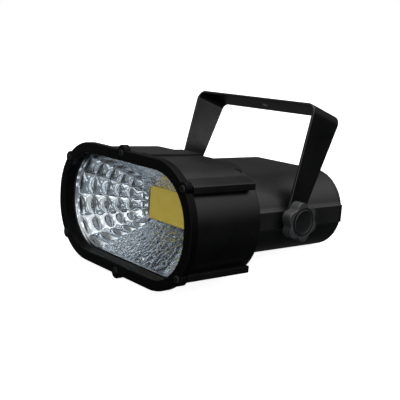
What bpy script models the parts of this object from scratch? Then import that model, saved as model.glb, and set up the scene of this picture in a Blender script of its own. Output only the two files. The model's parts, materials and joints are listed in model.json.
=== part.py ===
"""Compact stage spotlight: an obround LED head with a clamp yoke and a rear control panel.

Units are metres and Z is up.  The head is laid out level, in its own axes: X across, Y from the
face of the bezel to the rear cover, Z up, with the beam axis at X = Z = 0.  The whole assembly is
then leaned back onto the bezel's bottom lug and the rear edge of the body, the way the light
lies on a table, with the origin on the table under the middle of its footprint.
"""
import math

import bmesh
import bpy
from mathutils import Matrix, Vector

MM = 0.001
GAP = 0.3 * MM                     # between pieces that touch

# Obround sections: half width, half height and corner radius
BEZEL = (111.7 * MM, 60 * MM, 57 * MM)
OPENING = (101.4 * MM, 49.7 * MM, 46.7 * MM)
SLEEVE = (103.1 * MM, 52.1 * MM, 49.1 * MM)
GLASS = (103.0 * MM, 52.0 * MM, 49.0 * MM)
HOUSING_FRONT = (106.8 * MM, 55.9 * MM, 52.6 * MM)
HOUSING_REAR = (105.2 * MM, 54.7 * MM, 51.2 * MM)
HOUSING_MOUTH = (87.2 * MM, 41.9 * MM, 41.9 * MM)
FLANGE = (101.6 * MM, 51.0 * MM, 47.4 * MM)
CARRIER = (100.0 * MM, 48.0 * MM, 45.0 * MM)
REFLECTOR_FRONT = (100.8 * MM, 49.2 * MM, 46.2 * MM)
REFLECTOR_REAR = (37.5 * MM, 17.5 * MM, 8.0 * MM)
REFLECTOR_FLANGE = (103.0 * MM, 52.0 * MM, 49.0 * MM)

# Stations along the head
RIM_DEPTH = 8 * MM
SLEEVE_END = 11 * MM
GASKET_DEPTH = 1.8 * MM
GLASS_DEPTH = 4 * MM
HOUSING_START = RIM_DEPTH + GAP
HOUSING_END = 87 * MM
HOUSING_FILLET = 1.5 * MM
WALL = 3 * MM
REFLECTOR_END = 65.3 * MM
REFLECTOR_WALL = 1.2 * MM
FLANGE_START = 73.5 * MM
REAR_END = 222.8 * MM
COVER_DEPTH = 2.7 * MM

# Bezel lugs and the ridges behind them
LUG_RADIUS = 6.4 * MM
LUG_X = 95.3 * MM
LUG_Z = 39.6 * MM
MIDDLE_LUG_Z = 58.4 * MM
MIDDLE_SCREW_Z = 57.0 * MM
RIDGE_END = 80 * MM
RIB_HALF_WIDTH = 16 * MM
KEEL_HALF_WIDTH = 9 * MM
KEEL_END = 24 * MM

# Rear body
REAR_HALF_WIDTH = 85.3 * MM
REAR_HALF_HEIGHT = 41.0 * MM
BAND_HALF_WIDTH = 86.1 * MM
BAND_HALF_HEIGHT = 9 * MM
RADIAL_SCREW_Y = 79.5 * MM
RADIAL_SCREW_ANGLE = math.radians(63)

# Yoke
PIVOT_Y = 146.4 * MM
YOKE_LEAN = math.radians(18.7)
YOKE_HALF_SPAN = 90.0 * MM
YOKE_HEIGHT = 113.3 * MM
YOKE_STRAP = 2.8 * MM
YOKE_BEND = 10 * MM
YOKE_BAR_HALF = 20 * MM
YOKE_EYE_RADIUS = 10.5 * MM
CLAMP_HOLE_RADIUS = 6.25 * MM
PIVOT_RADIUS = 4 * MM

# Knobs
KNOB_BASE = 92.2 * MM
KNOB_FACE = 104 * MM
KNOB_LOBES = 6
KNOB_TURN = math.radians(10)
KNOB_RADIUS = 20 * MM
KNOB_WAIST = 15.4 * MM
CAP_RADIUS = 12.5 * MM
CAP_GROOVE_RADIUS = 14.4 * MM

# Rear panel, X and Z of each fitting
INLET = (-58 * MM, 0)
FUSE = (-30 * MM, -18 * MM)
DISPLAY = (0, 19 * MM)
BUTTON_X = (-18 * MM, -6 * MM, 6 * MM, 18 * MM)
BUTTON_Z = 2 * MM
BUTTON_RADIUS = 3.2 * MM
BUTTON_PROUD = 1.6 * MM
DATA_SOCKETS = {"data_in_socket": (37 * MM, -10 * MM), "data_out_socket": (64.5 * MM, -1 * MM)}
EYE_Z = -25 * MM
COVER_SCREW_X = 67.5 * MM
COVER_SCREW_Z = 25.5 * MM

FORWARD = Matrix.Rotation(math.radians(90), 4, "X")      # local Z to head -Y
BACKWARD = Matrix.Rotation(math.radians(-90), 4, "X")    # local Z to head +Y


# ---------------------------------------------------------------- outlines

def arc(center, radius, start, end, steps):
    """Points along an arc; the angles are in degrees."""
    points = []
    for i in range(steps + 1):
        angle = math.radians(start + (end - start) * i / steps)
        points.append((center[0] + radius * math.cos(angle), center[1] + radius * math.sin(angle)))
    return points


def circle(radius, center=(0, 0), steps=24):
    return arc(center, radius, 0, 360, steps)[:-1]


def obround(section, steps=10):
    """A rounded rectangle about the beam axis."""
    half_width, half_height, radius = section
    x = half_width - radius
    z = half_height - radius
    points = []
    for cx, cz, start in ((x, z, 0), (-x, z, 90), (-x, -z, 180), (x, -z, 270)):
        points += arc((cx, cz), radius, start, start + 90, steps)
    return points


def inset_section(section, inset):
    return tuple(size - inset for size in section)


def rectangle(width, height, center=(0, 0)):
    x, z = center
    corners = ((-1, -1), (1, -1), (1, 1), (-1, 1))
    return [(x + i * width / 2, z + j * height / 2) for i, j in corners]


def rear_outline(inset=0, steps=10):
    """The rear body's section: round ends with a flat band along each side."""
    radius = REAR_HALF_HEIGHT - inset
    center = REAR_HALF_WIDTH - REAR_HALF_HEIGHT
    band = BAND_HALF_HEIGHT - inset / 2
    side = BAND_HALF_WIDTH - inset
    start = math.degrees(math.asin(band / radius))
    right = arc((center, 0), radius, start, 90, steps)
    left = [(-x, z) for x, z in reversed(right)]
    upper = [(side, band)] + right + left + [(-side, band)]
    lower = [(-x, -z) for x, z in upper]
    return upper + lower


def lobed(steps=8):
    """The outline of the star knob: round lobes joined by shallow valleys."""
    points = []
    for i in range(KNOB_LOBES * steps):
        angle = 2 * math.pi * i / (KNOB_LOBES * steps)
        crest = (1 + math.cos(KNOB_LOBES * angle)) / 2
        radius = KNOB_WAIST + (KNOB_RADIUS - KNOB_WAIST) * crest ** 0.7
        points.append((radius * math.cos(angle + KNOB_TURN), radius * math.sin(angle + KNOB_TURN)))
    return points


# ---------------------------------------------------------------- making pieces

def material(name, colour, roughness, metallic=0.0, transmission=0.0):
    made = bpy.data.materials.get(name)
    if made is None:
        made = bpy.data.materials.new(name)
        made.use_nodes = True
        shader = made.node_tree.nodes["Principled BSDF"]
        shader.inputs["Base Color"].default_value = (*colour, 1)
        shader.inputs["Roughness"].default_value = roughness
        shader.inputs["Metallic"].default_value = metallic
        shader.inputs["Transmission Weight"].default_value = transmission
    return made


def black_paint():
    return material("black_paint", (0.018, 0.018, 0.019), 0.42)


def black_plastic():
    return material("black_plastic", (0.012, 0.012, 0.013), 0.5)


def rubber():
    return material("rubber", (0.02, 0.02, 0.02), 0.85)


def zinc():
    return material("zinc", (0.55, 0.55, 0.57), 0.35, 1.0)


def black_steel():
    return material("black_steel", (0.03, 0.03, 0.032), 0.38, 0.8)


def aluminium():
    return material("aluminium", (0.72, 0.73, 0.75), 0.4, 1.0)


def brass():
    return material("brass", (0.75, 0.55, 0.25), 0.35, 1.0)


def board_green():
    return material("board_green", (0.02, 0.12, 0.05), 0.5)


def weld(mesh):
    """Join the loose edges of a mesh and turn its faces outwards."""
    bm = bmesh.new()
    bm.from_mesh(mesh)
    bmesh.ops.remove_doubles(bm, verts=bm.verts, dist=0.001 * MM)
    bmesh.ops.recalc_face_normals(bm, faces=bm.faces)
    bm.to_mesh(mesh)
    bm.free()


def shade(mesh, angle=35):
    mesh.shade_smooth()
    mesh.set_sharp_from_angle(angle=math.radians(angle))


def flat_mesh(name, outlines, depth):
    """A plate from outlines in its XY plane, the later ones holes, from Z = 0 to depth."""
    curve = bpy.data.curves.new(name, "CURVE")
    curve.dimensions = "2D"
    curve.fill_mode = "BOTH"
    curve.extrude = depth / 2
    for outline in outlines:
        spline = curve.splines.new("POLY")
        spline.points.add(len(outline) - 1)
        for point, (x, y) in zip(spline.points, outline):
            point.co = (x, y, 0, 1)
        spline.use_cyclic_u = True
    outline_object = bpy.data.objects.new(name, curve)
    bpy.context.scene.collection.objects.link(outline_object)
    graph = bpy.context.evaluated_depsgraph_get()
    mesh = bpy.data.meshes.new_from_object(outline_object.evaluated_get(graph))
    bpy.data.objects.remove(outline_object)
    bpy.data.curves.remove(curve)
    mesh.transform(Matrix.Translation((0, 0, depth / 2)))
    weld(mesh)
    return mesh


def head_plate(name, outlines, start, end):
    """A plate whose outlines lie across the beam, from one Y station to another."""
    mesh = flat_mesh(name, outlines, end - start)
    mesh.transform(Matrix.Translation((0, end, 0)) @ FORWARD)
    return mesh


def loft_mesh(name, rows, closed=False):
    """A surface through rings of equal point counts; a row is (outline, y).

    Closed, the last ring joins the first, which makes the solid wall of a shell.
    """
    bm = bmesh.new()
    rings = [[bm.verts.new((x, y, z)) for x, z in outline] for outline, y in rows]
    following = rings[1:] + rings[:1] if closed else rings[1:]
    for near, far in zip(rings, following):
        count = len(near)
        for i in range(count):
            j = (i + 1) % count
            bm.faces.new((near[i], near[j], far[j], far[i]))
    mesh = bpy.data.meshes.new(name)
    bm.to_mesh(mesh)
    bm.free()
    return mesh


class Builder:
    """Puts the pieces in the spotlight's collection, under the assembly's empty."""

    def __init__(self):
        self.parts = bpy.data.collections.new("spotlight")
        self.cutters = bpy.data.collections.new("cutters")
        for collection in (self.parts, self.cutters):
            bpy.context.scene.collection.children.link(collection)
        self.assembly = bpy.data.objects.new("assembly", None)
        self.parts.objects.link(self.assembly)

    def add(self, name, mesh, finish, matrix=None, origin=None):
        """Add a piece; its origin goes to a point of the head, such as its joint's axis."""
        if matrix is not None:
            mesh.transform(matrix)
        if origin is not None:
            mesh.transform(Matrix.Translation(-Vector(origin)))
        piece = bpy.data.objects.new(name, mesh)
        piece.location = origin if origin is not None else (0, 0, 0)
        mesh.name = name
        mesh.materials.clear()
        mesh.materials.append(finish)
        shade(mesh)
        piece.parent = self.assembly
        self.parts.objects.link(piece)
        return piece

    def tool(self, mesh, matrix=None):
        """Add a hidden solid that cuts or joins pieces."""
        if matrix is not None:
            mesh.transform(matrix)
        tool = bpy.data.objects.new("tool", mesh)
        tool.hide_render = True
        tool.display_type = "WIRE"
        tool.parent = self.assembly
        self.cutters.objects.link(tool)
        return tool

    def join(self, piece, tool):
        self.boolean(piece, tool, "UNION")

    def cut(self, piece, tool):
        self.boolean(piece, tool, "DIFFERENCE")

    def boolean(self, piece, tool, operation):
        modifier = piece.modifiers.new(operation.lower(), "BOOLEAN")
        modifier.operation = operation
        modifier.object = tool

    def turned(self, name, profile, finish, matrix, origin=None, steps=20):
        """A turned piece: the profile runs from the top of the axis down to its bottom."""
        mesh = bpy.data.meshes.new(name)
        points = [(radius, 0, height) for radius, height in profile]
        edges = [(i, i + 1) for i in range(len(points) - 1)]
        mesh.from_pydata(points, edges, [])
        piece = self.add(name, mesh, finish)
        screw = piece.modifiers.new("turn", "SCREW")
        screw.steps = steps
        screw.render_steps = steps
        screw.use_merge_vertices = True
        screw.merge_threshold = 0.01 * MM
        screw.use_smooth_shade = True
        graph = bpy.context.evaluated_depsgraph_get()
        solid = bpy.data.meshes.new_from_object(piece.evaluated_get(graph))
        bpy.data.objects.remove(piece)
        weld(solid)
        return self.add(name, solid, finish, matrix, origin)


def at(x=0.0, y=0.0, z=0.0, turn=None):
    """A place in the head, with an optional turn of the piece's own axes."""
    place = Matrix.Translation((x, y, z))
    return place @ turn if turn is not None else place


def pan_screw(head_radius, head_height, shank_radius, length, drive_radius):
    """A pan-head screw's profile, from the drive recess in its head down to its tip."""
    dome = head_height * 0.35
    return [(0, head_height * 0.45), (drive_radius, head_height * 0.5), (drive_radius, head_height),
            (head_radius * 0.72, head_height), (head_radius, head_height - dome), (head_radius, 0),
            (shank_radius, 0), (shank_radius, -length + shank_radius), (0, -length)]


def side_turn(side):
    """Turns local Z outwards along the head's X, on the right (1) or the left (-1)."""
    return Matrix.Rotation(math.radians(90 * side), 4, "Y")


# ---------------------------------------------------------------- optics

def lug_places():
    """The six lugs: X and Z of each, and the Z of its screw."""
    corners = [(i * LUG_X, j * LUG_Z, j * LUG_Z) for j in (1, -1) for i in (-1, 1)]
    return corners + [(0, j * MIDDLE_LUG_Z, j * MIDDLE_SCREW_Z) for j in (1, -1)]


def add_bezel(build):
    inset = 0.4 * MM
    counterbore = 2.4 * MM
    rim = head_plate("front_bezel", [obround(BEZEL, 14), obround(OPENING, 14)], 0, RIM_DEPTH)
    bezel = build.add("front_bezel", rim, black_plastic())
    sleeve = head_plate("sleeve", [obround(SLEEVE, 14), obround(OPENING, 14)],
                        RIM_DEPTH - inset, SLEEVE_END)
    build.join(bezel, build.tool(sleeve))
    for x, z, screw_z in lug_places():
        lug = head_plate("lug", [circle(LUG_RADIUS, (x, z))], inset, RIM_DEPTH - inset / 2)
        build.join(bezel, build.tool(lug))
    for x, z, screw_z in lug_places():
        bore = head_plate("bore", [circle(2.0 * MM, (x, screw_z), 16)], -inset, 12 * MM)
        build.cut(bezel, build.tool(bore))
        seat = head_plate("seat", [circle(4.2 * MM, (x, screw_z), 20)], -inset, counterbore)
        build.cut(bezel, build.tool(seat))
    profile = pan_screw(3.8 * MM, 2.2 * MM, 1.4 * MM, 14 * MM, 1.5 * MM)
    for number, (x, z, screw_z) in enumerate(lug_places(), 1):
        build.turned(f"bezel_screw_{number}", profile, black_steel(),
                     at(x, counterbore - GAP, screw_z, FORWARD), steps=14)


def add_window(build):
    start = SLEEVE_END + GAP
    gasket = head_plate("lens_gasket", [obround(GLASS), obround(OPENING)],
                        start, start + GASKET_DEPTH)
    build.add("lens_gasket", gasket, rubber())
    start += GASKET_DEPTH + GAP
    glass = head_plate("front_glass", [obround(GLASS)], start, start + GLASS_DEPTH)
    finish = material("clear_glass", (0.95, 0.97, 0.97), 0.03, 0.0, 1.0)
    build.add("front_glass", glass, finish)
    return start + GLASS_DEPTH + GAP


def blend(first, second, share):
    return tuple(a + (b - a) * share for a, b in zip(first, second))


def add_reflector(build, start):
    """A deep obround mirror, from the glass down to the frame of the LED."""
    rings = 7
    rows = [(obround(REFLECTOR_FLANGE, 7), start)]
    for i in range(rings + 1):
        depth = i / rings
        closing = 1 - (1 - depth) ** 0.82
        section = blend(REFLECTOR_FRONT, REFLECTOR_REAR, closing)
        rows.append((obround(section, 7), start + (REFLECTOR_END - start) * depth))
    mesh = loft_mesh("reflector", rows)
    mirror = material("mirror", (0.9, 0.91, 0.93), 0.08, 1.0)
    reflector = build.add("reflector", mesh, mirror)
    skin = reflector.modifiers.new("skin", "SOLIDIFY")
    skin.thickness = REFLECTOR_WALL
    skin.offset = -1


def add_led(build):
    emitter_start = REFLECTOR_END + 0.7 * MM
    emitter_end = emitter_start + 1.0 * MM
    board_end = emitter_end + GAP + 1.6 * MM
    phosphor = material("phosphor", (0.85, 0.62, 0.08), 0.45)
    emitter = head_plate("led_emitter", [obround((35 * MM, 16.5 * MM, 2 * MM), 4)],
                         emitter_start, emitter_end)
    build.add("led_emitter", emitter, phosphor)
    board = head_plate("led_board", [obround((44 * MM, 27 * MM, 3 * MM), 4)],
                       emitter_end + GAP, board_end)
    build.add("led_board", board, material("ceramic", (0.8, 0.8, 0.78), 0.6))
    carrier_end = FLANGE_START - GAP
    holes = [circle(2.3 * MM, (i * 91 * MM, j * 14 * MM), 12) for i in (-1, 1) for j in (-1, 1)]
    plate = head_plate("led_carrier", [obround(CARRIER), *holes], board_end + GAP, carrier_end)
    build.add("led_carrier", plate, aluminium())
    profile = pan_screw(3.5 * MM, 2.2 * MM, 1.5 * MM, 9 * MM, 1.3 * MM)
    number = 0
    for i in (-1, 1):
        for j in (-1, 1):
            number += 1
            build.turned(f"carrier_screw_{number}", profile, zinc(),
                         at(i * 91 * MM, board_end, j * 14 * MM, FORWARD), steps=12)
    return carrier_end + GAP


def add_heat_sink(build, start):
    """A finned block: its outline is a comb, and it runs the height of the fins."""
    half_width = 47 * MM
    base = 4 * MM
    end = 118 * MM
    fins = 12
    fin = 2 * MM
    pitch = (2 * half_width - fin) / (fins - 1)
    comb = [(half_width, start), (-half_width, start)]
    for i in range(fins):
        left = -half_width + i * pitch
        comb += [(left, end), (left + fin, end)]
        if i < fins - 1:
            comb += [(left + fin, start + base), (left + pitch, start + base)]
    mesh = flat_mesh("heat_sink", [comb], 56 * MM)
    build.add("heat_sink", mesh, aluminium(), at(0, 0, -28 * MM))


# ---------------------------------------------------------------- casings

def ridge_outline(side, level):
    """The screw ridge behind a corner lug, as seen from the front."""
    shape = ((101.8, 35.5), (101.8, 41.8), (99, 43), (86.5, 46.5), (84.7, 43.9), (93.8, 35.5))
    return [(side * x * MM, level * z * MM) for x, z in shape]


def radial_frame(side, level, y):
    """A frame on the housing's shoulder, its Z along the surface's outward normal."""
    half_width, half_height, radius = HOUSING_REAR
    across = math.cos(RADIAL_SCREW_ANGLE)
    up = math.sin(RADIAL_SCREW_ANGLE)
    x = side * (half_width - radius + radius * across)
    z = level * (half_height - radius + radius * up)
    tilt = math.atan2(side * across, level * up)
    return Matrix.Translation((x, y, z)) @ Matrix.Rotation(tilt, 4, "Y")


def radial_places():
    return [radial_frame(i, j, RADIAL_SCREW_Y) for j in (1, -1) for i in (-1, 1)]


def add_front_housing(build):
    """The deep front shell: a drafted obround tube that turns in to the rear body's mouth."""
    steps = 12
    straight_end = HOUSING_END - HOUSING_FILLET
    rows = [(obround(HOUSING_FRONT, steps), HOUSING_START),
            (obround(HOUSING_REAR, steps), straight_end)]
    for turn in (30, 60, 90):
        inset = HOUSING_FILLET * (1 - math.cos(math.radians(turn)))
        rows.append((obround(inset_section(HOUSING_REAR, inset), steps),
                     straight_end + HOUSING_FILLET * math.sin(math.radians(turn))))
    inner_end = HOUSING_END - WALL
    rows += [(obround(HOUSING_MOUTH, steps), HOUSING_END),
             (obround(HOUSING_MOUTH, steps), inner_end),
             (obround(inset_section(HOUSING_REAR, WALL), steps), inner_end),
             (obround(inset_section(HOUSING_FRONT, WALL), steps), HOUSING_START)]
    mesh = loft_mesh("front_housing", rows, closed=True)
    weld(mesh)
    shell = build.add("front_housing", mesh, black_paint())
    start = HOUSING_START + GAP
    for i in (-1, 1):
        for j in (-1, 1):
            ridge = head_plate("ridge", [ridge_outline(i, j)], start, RIDGE_END)
            build.join(shell, build.tool(ridge))
    profile = ((start, 53.6 * MM), (start, 59.4 * MM), (16 * MM, 59.2 * MM), (22 * MM, 57.6 * MM),
               (HOUSING_END - MM, 56.6 * MM), (HOUSING_END - MM, 52.6 * MM))
    side = Matrix(((0, 0, 1, -RIB_HALF_WIDTH), (1, 0, 0, 0), (0, 1, 0, 0), (0, 0, 0, 1)))
    rib = flat_mesh("rib", [profile], 2 * RIB_HALF_WIDTH)
    build.join(shell, build.tool(rib, side))
    keel = head_plate("keel", [rectangle(2 * KEEL_HALF_WIDTH, 5.6 * MM, (0, -56.6 * MM))],
                      start, KEEL_END)
    build.join(shell, build.tool(keel))
    for x, z, screw_z in lug_places():
        bore = head_plate("bore", [circle(1.7 * MM, (x, screw_z), 12)], 0, 17.5 * MM)
        build.cut(shell, build.tool(bore))
    for place in radial_places():
        seat = flat_mesh("seat", [circle(4.2 * MM, steps=16)], 4 * MM)
        build.cut(shell, build.tool(seat, place @ at(0, 0, -1.6 * MM)))
        bore = flat_mesh("bore", [circle(1.8 * MM, steps=12)], 8 * MM)
        build.cut(shell, build.tool(bore, place @ at(0, 0, -7 * MM)))
    profile = pan_screw(3.6 * MM, 1.2 * MM, 1.4 * MM, 9 * MM, 1.2 * MM)
    for number, place in enumerate(radial_places(), 1):
        build.turned(f"housing_screw_{number}", profile, zinc(), place @ at(0, 0, -1.3 * MM),
                     steps=12)


def add_rear_housing(build):
    """The rear body: a tube with side bands, a front flange, trunnions and inner bosses."""
    end = REAR_END - COVER_DEPTH - GAP
    tube = head_plate("rear_housing", [rear_outline(), rear_outline(WALL)], FLANGE_START, end)
    body = build.add("rear_housing", tube, black_paint())
    flange = head_plate("flange", [obround(FLANGE, 12), rear_outline(WALL / 2)],
                        FLANGE_START + 0.2 * MM, HOUSING_END - WALL - GAP)
    build.join(body, build.tool(flange))
    for side in (-1, 1):
        boss = flat_mesh("boss", [circle(12 * MM, steps=20)], 14 * MM)
        place = at(side * 70 * MM, PIVOT_Y, 0, side_turn(side))
        build.join(body, build.tool(boss, place))
        rail = head_plate("rail", [rectangle(5 * MM, 14 * MM, (side * 38 * MM, -33 * MM))],
                          132 * MM, 204 * MM)
        build.join(body, build.tool(rail))
        for level in (-1, 1):
            spot = (side * COVER_SCREW_X, level * COVER_SCREW_Z)
            post = head_plate("post", [circle(5.5 * MM, spot, 16)], 203 * MM, end - GAP)
            build.join(body, build.tool(post))
    for side in (-1, 1):
        bore = flat_mesh("bore", [circle(6.3 * MM, steps=20)], 26 * MM)
        build.cut(body, build.tool(bore, at(side * 65 * MM, PIVOT_Y, 0, side_turn(side))))
        for level in (-1, 1):
            spot = (side * COVER_SCREW_X, level * COVER_SCREW_Z)
            hole = head_plate("hole", [circle(1.6 * MM, spot, 12)], 208 * MM, REAR_END)
            build.cut(body, build.tool(hole))
            anchor = head_plate("anchor", [circle(1.7 * MM, (side * 91 * MM, level * 14 * MM), 12)],
                                FLANGE_START - MM, FLANGE_START + 7.5 * MM)
            build.cut(body, build.tool(anchor))
    for place in radial_places():
        bore = flat_mesh("bore", [circle(1.6 * MM, steps=12)], 12 * MM)
        build.cut(body, build.tool(bore, place @ at(0, 0, -13 * MM)))


# ---------------------------------------------------------------- yoke and knobs

def yoke_path():
    """Stations along the outer face of the strap: X, height above the pivot, half width."""
    straight = YOKE_HEIGHT - YOKE_BEND
    taper = (YOKE_BAR_HALF - YOKE_EYE_RADIUS) / straight
    stations = []
    for angle in (88, 65, 45, 25, 0):
        height = -YOKE_EYE_RADIUS * math.sin(math.radians(angle))
        half = YOKE_EYE_RADIUS * math.cos(math.radians(angle))
        stations.append((YOKE_HALF_SPAN, height, half))
    for share in (0.35, 0.7, 1):
        height = straight * share
        stations.append((YOKE_HALF_SPAN, height, YOKE_EYE_RADIUS + taper * height))
    for angle in (15, 30, 45, 60, 75, 90):
        x = YOKE_HALF_SPAN - YOKE_BEND * (1 - math.cos(math.radians(angle)))
        height = straight + YOKE_BEND * math.sin(math.radians(angle))
        stations.append((x, height, YOKE_BAR_HALF))
    return stations + [(-x, height, half) for x, height, half in reversed(stations)]


def add_yoke(build):
    """A bent strap whose arms taper to round eyes on the pivots."""
    bm = bmesh.new()
    rows = [[bm.verts.new((x, side * half, height)) for side in (-1, 0, 1)]
            for x, height, half in yoke_path()]
    for near, far in zip(rows, rows[1:]):
        for i in (0, 1):
            bm.faces.new((near[i], near[i + 1], far[i + 1], far[i]))
    mesh = bpy.data.meshes.new("yoke")
    bm.to_mesh(mesh)
    bm.free()
    yoke = build.add("yoke", mesh, black_paint())
    yoke.location = (0, PIVOT_Y, 0)
    yoke.rotation_euler = (-YOKE_LEAN, 0, 0)
    skin = yoke.modifiers.new("strap", "SOLIDIFY")
    skin.thickness = YOKE_STRAP
    skin.offset = -1
    skin.use_even_offset = True
    lean = at(0, PIVOT_Y, 0, Matrix.Rotation(-YOKE_LEAN, 4, "X"))
    pivot = flat_mesh("pivot", [circle(PIVOT_RADIUS + 0.5 * MM, steps=20)], 220 * MM)
    build.cut(yoke, build.tool(pivot, at(-110 * MM, PIVOT_Y, 0, side_turn(1))))
    clamp = flat_mesh("clamp", [circle(CLAMP_HOLE_RADIUS, steps=24)], 10 * MM)
    build.cut(yoke, build.tool(clamp, lean @ at(0, 0, YOKE_HEIGHT - 6 * MM)))


def washer(inner, outer, depth):
    """A washer's outlines; it is made as a plate."""
    return [circle(outer, steps=28), circle(inner, steps=28)], depth


def add_pivot(build, label, side):
    """The knob, its cap and bolt, the washers and the threaded insert of one side."""
    origin = (side * YOKE_HALF_SPAN, PIVOT_Y, 0)
    turn = side_turn(side)

    def place(x):
        return at(side * x, PIVOT_Y, 0, turn)

    inner_face = YOKE_HALF_SPAN - YOKE_STRAP
    pad = inner_face - BAND_HALF_WIDTH - 2 * 0.2 * MM
    outlines, depth = washer(PIVOT_RADIUS + 0.5 * MM, 11 * MM, pad)
    build.add(f"{label}_friction_washer", flat_mesh("washer", outlines, depth), rubber(),
              place(BAND_HALF_WIDTH + 0.2 * MM))
    outlines, depth = washer(PIVOT_RADIUS + 0.4 * MM, 9 * MM, 1.4 * MM)
    build.add(f"{label}_washer", flat_mesh("washer", outlines, depth), zinc(),
              place(YOKE_HALF_SPAN + 0.25 * MM), origin)
    insert = [circle(6 * MM, steps=20), circle(PIVOT_RADIUS + 0.3 * MM, steps=20)]
    build.add(f"{label}_insert", flat_mesh("insert", insert, 15 * MM), brass(), place(70.5 * MM))

    bolt_end = 98.4 * MM
    bolt = [(0, bolt_end), (PIVOT_RADIUS, bolt_end), (PIVOT_RADIUS, 73.5 * MM),
            (PIVOT_RADIUS - MM, 72.5 * MM), (0, 72.5 * MM)]
    build.turned(f"{label}_bolt", bolt, zinc(), place(0), origin, steps=20)

    knob = build.add(f"{label}_knob", flat_mesh("knob", [lobed()], KNOB_FACE - KNOB_BASE),
                     black_plastic(), place(KNOB_BASE), origin)
    rounding = knob.modifiers.new("rounding", "BEVEL")
    rounding.width = 1.6 * MM
    rounding.segments = 2
    rounding.limit_method = "ANGLE"
    rounding.angle_limit = math.radians(60)
    groove = flat_mesh("groove", [circle(CAP_GROOVE_RADIUS, steps=28)], 6 * MM)
    build.cut(knob, build.tool(groove, place(KNOB_FACE - 2.2 * MM)))
    bore = flat_mesh("bore", [circle(PIVOT_RADIUS + GAP, steps=20)], 8 * MM)
    build.cut(knob, build.tool(bore, place(KNOB_BASE - 1.3 * MM)))
    cap = [(0, 1.3 * MM), (CAP_RADIUS * 0.6, 1.5 * MM), (CAP_RADIUS * 0.88, 2.2 * MM),
           (CAP_RADIUS, 1.7 * MM), (CAP_RADIUS, 0), (0, 0)]
    build.turned(f"{label}_knob_cap", cap, black_plastic(), place(KNOB_FACE - 1.9 * MM),
                 origin, steps=32)


# ---------------------------------------------------------------- electronics and rear panel

def add_driver(build):
    board_level = -26 * MM + GAP
    rest = at(0, 168 * MM, board_level)
    board = flat_mesh("driver_board", [rectangle(104 * MM, 70 * MM)], 1.6 * MM)
    build.add("driver_board", board, board_green(), rest)
    top = board_level + 1.6 * MM + GAP
    core = flat_mesh("driver_transformer", [rectangle(30 * MM, 26 * MM)], 24 * MM)
    build.add("driver_transformer", core, material("ferrite", (0.06, 0.06, 0.06), 0.7),
              at(-22 * MM, 166 * MM, top))
    sleeve = material("capacitor_sleeve", (0.03, 0.05, 0.12), 0.4)
    profile = [(0, 24 * MM), (7.2 * MM, 24 * MM), (8 * MM, 23.2 * MM), (8 * MM, 0), (0, 0)]
    for number, y in enumerate((152 * MM, 176 * MM), 1):
        build.turned(f"driver_capacitor_{number}", profile, sleeve, at(20 * MM, y, top), steps=16)


def add_rear_cover(build):
    start = REAR_END - COVER_DEPTH
    cutouts = [rectangle(28.6 * MM, 21 * MM, INLET), rectangle(40 * MM, 12 * MM, DISPLAY),
               circle(6.3 * MM, FUSE, 20)]
    cutouts += [circle(BUTTON_RADIUS + GAP, (x, BUTTON_Z), 16) for x in BUTTON_X]
    cutouts += [circle(11.3 * MM, spot, 24) for spot in DATA_SOCKETS.values()]
    corners = [(i * COVER_SCREW_X, j * COVER_SCREW_Z) for j in (1, -1) for i in (-1, 1)]
    cutouts += [circle(1.9 * MM, spot, 12) for spot in corners]
    plate = head_plate("rear_cover", [rear_outline(), *cutouts], start, REAR_END)
    build.add("rear_cover", plate, black_paint())
    profile = pan_screw(3.4 * MM, 2 * MM, 1.4 * MM, 12 * MM, 1.3 * MM)
    for number, (x, z) in enumerate(corners, 1):
        build.turned(f"cover_screw_{number}", profile, zinc(),
                     at(x, REAR_END + GAP, z, BACKWARD), steps=12)


def add_power_inlet(build):
    """A recessed three-pin inlet in a flanged body."""
    x, z = INLET
    depth = 22 * MM
    body = head_plate("power_inlet", [rectangle(28 * MM, 20.4 * MM, INLET)],
                      REAR_END - depth, REAR_END + MM)
    inlet = build.add("power_inlet", body, black_plastic())
    flange = head_plate("flange", [rectangle(38 * MM, 27 * MM, INLET)],
                        REAR_END + GAP, REAR_END + 1.8 * MM)
    build.join(inlet, build.tool(flange))
    recess = head_plate("recess", [rectangle(24 * MM, 16.4 * MM, INLET)],
                        REAR_END - 15 * MM, REAR_END + 4 * MM)
    build.cut(inlet, build.tool(recess))
    for shift, lift in ((-7 * MM, -2 * MM), (0, 2.5 * MM), (7 * MM, -2 * MM)):
        pin = head_plate("pin", [rectangle(2 * MM, 4 * MM, (x + shift, z + lift))],
                         REAR_END - 16 * MM, REAR_END - 4 * MM)
        build.join(inlet, build.tool(pin))


def add_data_socket(build, name, spot):
    """A round three-pole data socket with a square flange."""
    x, z = spot
    body = head_plate(name, [circle(11 * MM, spot, 28)], REAR_END - 18 * MM, REAR_END + MM)
    socket = build.add(name, body, black_plastic())
    flange = head_plate("flange", [rectangle(26 * MM, 30 * MM, spot)],
                        REAR_END + GAP, REAR_END + 1.8 * MM)
    build.join(socket, build.tool(flange))
    recess = head_plate("recess", [circle(8.8 * MM, spot, 28)],
                        REAR_END - 11 * MM, REAR_END + 4 * MM)
    build.cut(socket, build.tool(recess))
    for angle in (-90, 30, 150):
        way = (x + 4.5 * MM * math.cos(math.radians(angle)),
               z + 4.5 * MM * math.sin(math.radians(angle)))
        pin = head_plate("pin", [circle(1.1 * MM, way, 10)], REAR_END - 12 * MM, REAR_END - 3 * MM)
        build.join(socket, build.tool(pin))


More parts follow.
